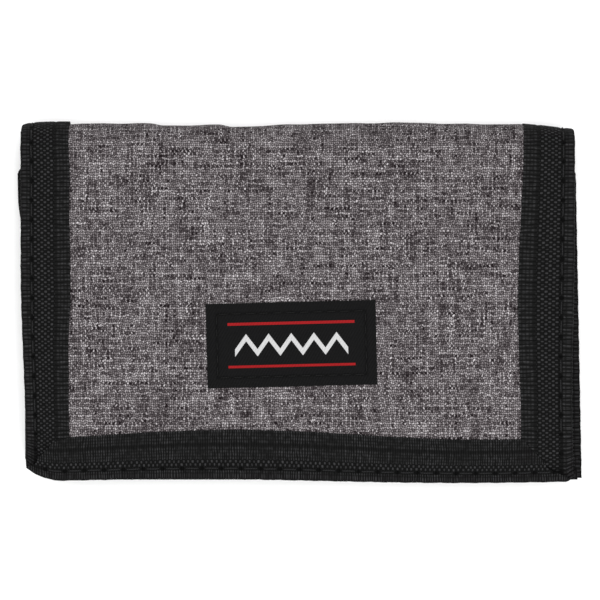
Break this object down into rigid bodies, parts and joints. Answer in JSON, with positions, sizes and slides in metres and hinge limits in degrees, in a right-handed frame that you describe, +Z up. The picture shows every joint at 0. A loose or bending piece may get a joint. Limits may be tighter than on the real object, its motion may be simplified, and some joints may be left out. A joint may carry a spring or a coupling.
{
  "type": "bifold wallet",
  "caption": "Fabric wallet folded once along its long side, with taped edges, card slots, a window pocket and a zipped coin pocket.",
  "frame": {"origin": "centre of the bounding box at the back face, the plane the closed wallet lies on", "axes": "+X runs along the fold, +Y points from the free edge to the fold, +Z is up through the thickness, out of the front flap"},
  "size_m": [0.1298, 0.0836, 0.0148],
  "materials": {
    "heather_fabric": "melange plain weave",
    "binding_tape": "ribbed woven tape",
    "lining_fabric": "smooth plain weave",
    "foam": "open cell foam",
    "label_satin": "satin woven",
    "zip_tape": "twill woven",
    "zip_coil": "nylon",
    "zip_metal": "satin nickel plate",
    "window_film": "clear film",
    "hook_nylon": "moulded hooks",
    "loop_nylon": "brushed loops"
  },
  "bodies": {
    "back": {"back_shell_lower": "heather_fabric", "back_shell_upper": "heather_fabric", "back_padding_lower": "foam", "back_padding_upper": "foam", "zip_tape_lower": "zip_tape", "zip_tape_upper": "zip_tape", "zip_coil_lower": "zip_coil", "zip_coil_upper": "zip_coil", "zip_bottom_stop": "zip_metal", "zip_top_stop_lower": "zip_metal", "zip_top_stop_upper": "zip_metal", "back_lining": "lining_fabric", "pocket_panel_back": "lining_fabric", "pocket_top_binding": "binding_tape", "id_window_frame": "lining_fabric", "id_window_film": "window_film", "loop_strip": "loop_nylon", "back_left_binding": "binding_tape", "back_right_binding": "binding_tape", "back_bottom_binding": "binding_tape", "pocket_left_binding": "binding_tape", "pocket_right_binding": "binding_tape", "pocket_bottom_binding": "binding_tape"},
    "spine": {"spine_shell": "heather_fabric", "spine_lining": "lining_fabric", "spine_left_binding": "binding_tape", "spine_right_binding": "binding_tape"},
    "flap": {"flap_shell": "heather_fabric", "flap_padding": "foam", "flap_lining": "lining_fabric", "pocket_panel_flap": "lining_fabric", "flap_panel_trim": "binding_tape", "card_slot_1": "lining_fabric", "card_slot_2": "lining_fabric", "card_slot_3": "lining_fabric", "card_slot_trim_1": "binding_tape", "card_slot_trim_2": "binding_tape", "card_slot_trim_3": "binding_tape", "hook_strip": "hook_nylon", "flap_left_binding": "binding_tape", "flap_right_binding": "binding_tape", "flap_bottom_binding": "binding_tape", "label_patch": "label_satin"},
    "slider": {"zip_slider": "zip_metal"},
    "pull": {"zip_pull": "zip_metal"}
  },
  "joints": [
    {"name": "spine_fold", "type": "hinge", "parent": "back", "child": "spine", "pos_m": [0, 0.04024, 0.00156], "axis": [-1, 0, 0], "range_deg": [0, 90]},
    {"name": "flap_fold", "type": "hinge", "parent": "spine", "child": "flap", "pos_m": [0, 0.04024, 0.01294], "axis": [-1, 0, 0], "range_deg": [0, 90]},
    {"name": "zip_slide", "type": "slide", "parent": "back", "child": "slider", "axis": [-1, 0, 0], "range_m": [0, 0.077]},
    {"name": "zip_pull_swing", "type": "hinge", "parent": "slider", "child": "pull", "pos_m": [0.041, 0.014, 0.00122], "axis": [0, -1, 0], "range_deg": [0, 120]}
  ],
  "couplings": [
    {"joint": "flap_fold", "follows": "spine_fold", "ratio": 1}
  ]
}
